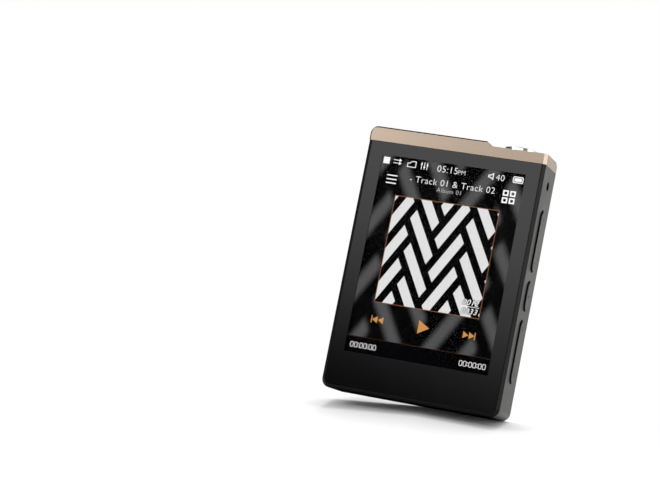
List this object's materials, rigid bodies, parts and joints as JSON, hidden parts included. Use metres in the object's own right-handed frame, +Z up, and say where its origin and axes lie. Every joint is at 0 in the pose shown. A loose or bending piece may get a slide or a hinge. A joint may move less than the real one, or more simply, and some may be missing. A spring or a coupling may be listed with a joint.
{
  "type": "digital audio player",
  "caption": "Upright pocket music player: touch screen behind flat glass, stepped gold cap with a round chrome button, rocker keys down one side, brushed back plate.",
  "frame": {"origin": "centre of the bottom face that the player stands on", "axes": "+X towards the side with the keys, +Y from the glass to the back plate, +Z up along the height"},
  "size_m": [0.0536, 0.0148, 0.0771],
  "materials": {
    "case_metal": "bronze-grey anodised, satin",
    "bezel_black": "black, semi-gloss",
    "front_glass": "clear glass with a black printed border",
    "adhesive": "black double-sided tape",
    "gold_metal": "pale gold anodised, fine satin",
    "back_metal": "black anodised, brushed along its height",
    "touch_film": "clear film with a fine grid",
    "lcd_panel": "dark glass panel",
    "backlight_white": "white light guide",
    "tray_steel": "stamped steel",
    "foam_grey": "foam",
    "frame_alloy": "die-cast light alloy",
    "board_green": "green solder mask",
    "chip_black": "moulded package",
    "crystal_metal": "metal can",
    "capacitor_tan": "ceramic",
    "connector_ivory": "moulded nylon",
    "flex_amber": "polyimide film",
    "jack_plastic": "black moulded",
    "contact_gold": "gold plated",
    "socket_steel": "stamped steel",
    "socket_plastic": "black moulded",
    "battery_foil": "laminated foil pouch",
    "tape_white": "double-sided tape",
    "lead_red": "insulated lead",
    "led_white": "moulded resin",
    "pipe_smoke": "smoked clear resin",
    "button_chrome": "polished chrome",
    "carrier_plastic": "black moulded",
    "key_metal": "bronze-grey anodised, satin",
    "pin_steel": "ground steel",
    "screw_steel": "blackened steel"
  },
  "bodies": {
    "case": {"main_housing": "case_metal", "front_bezel": "bezel_black", "front_window": "front_glass", "window_adhesive": "adhesive", "top_cap": "gold_metal", "back_plate": "back_metal", "back_adhesive": "adhesive", "touch_sensor": "touch_film", "display_panel": "lcd_panel", "backlight_unit": "backlight_white", "display_tray": "tray_steel", "display_foam": "foam_grey", "mid_frame": "frame_alloy", "main_board": "board_green", "processor_chip": "chip_black", "memory_chip": "chip_black", "audio_chip": "chip_black", "power_chip": "chip_black", "clock_crystals": "crystal_metal", "board_capacitors": "capacitor_tan", "shield_can": "tray_steel", "board_connectors": "connector_ivory", "display_flex": "flex_amber", "touch_flex": "flex_amber", "headphone_jack": "jack_plastic", "jack_contacts": "contact_gold", "usb_shell": "socket_steel", "usb_tongue": "socket_plastic", "card_socket_base": "socket_plastic", "card_socket_cover": "socket_steel", "card_contacts": "contact_gold", "battery": "battery_foil", "battery_tape": "tape_white", "battery_leads": "lead_red", "side_key_board": "board_green", "side_switches": "socket_steel", "key_bracket": "tray_steel", "power_switch_board": "board_green", "power_switch": "socket_steel", "indicator_led": "led_white", "indicator_light_pipe": "pipe_smoke", "card_door_pin": "pin_steel", "frame_screws": "screw_steel", "board_screws": "screw_steel", "bracket_screws": "screw_steel", "cap_screws": "screw_steel"},
    "power_body": {"power_button": "button_chrome", "power_carrier": "carrier_plastic"},
    "volume_body": {"volume_rocker": "key_metal"},
    "play_body": {"play_key": "key_metal"},
    "skip_body": {"skip_rocker": "key_metal"},
    "door_body": {"card_door": "case_metal"}
  },
  "joints": [
    {"name": "power_press", "type": "slide", "parent": "case", "child": "power_body", "axis": [0, 0, -1], "range_m": [0, 0.0004], "stiffness_N_per_m": 3000},
    {"name": "volume_rock", "type": "hinge", "parent": "case", "child": "volume_body", "pos_m": [0.0232, -0.0003, 0.0517], "axis": [0, 1, 0], "range_deg": [-1.8, 1.8], "stiffness_Nm_per_rad": 0.5},
    {"name": "play_press", "type": "slide", "parent": "case", "child": "play_body", "axis": [-1, 0, 0], "range_m": [0, 0.0003], "stiffness_N_per_m": 3000},
    {"name": "skip_rock", "type": "hinge", "parent": "case", "child": "skip_body", "pos_m": [0.0232, -0.0003, 0.0197], "axis": [0, 1, 0], "range_deg": [-1.8, 1.8], "stiffness_Nm_per_rad": 0.5},
    {"name": "card_door_swing", "type": "hinge", "parent": "case", "child": "door_body", "pos_m": [-0.02585, -0.0003, 0.0443], "axis": [0, -1, 0], "range_deg": [0, 100]}
  ]
}
